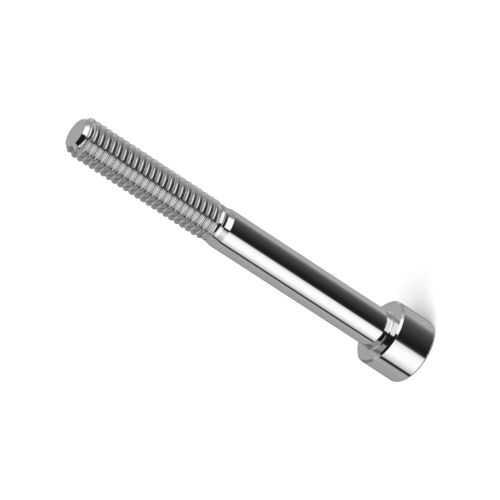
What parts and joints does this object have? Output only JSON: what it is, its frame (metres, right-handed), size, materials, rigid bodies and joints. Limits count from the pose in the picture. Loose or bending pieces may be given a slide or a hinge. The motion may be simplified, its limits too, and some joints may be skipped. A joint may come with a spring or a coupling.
{
  "type": "socket head cap screw",
  "caption": "Part-threaded cap screw with a smooth round head, a hexagon socket, a necked shank and a chamfered tip.",
  "frame": {"origin": "middle of the face under the head, which clamps on the work", "axes": "+Z along the screw from the head to the tip, +X and -X through two corners of the hexagon socket"},
  "size_m": [0.01, 0.01, 0.0612],
  "materials": {
    "bright_steel": "bright polished steel"
  },
  "bodies": {
    "root": {"cap_screw": "bright_steel"}
  },
  "joints": []
}
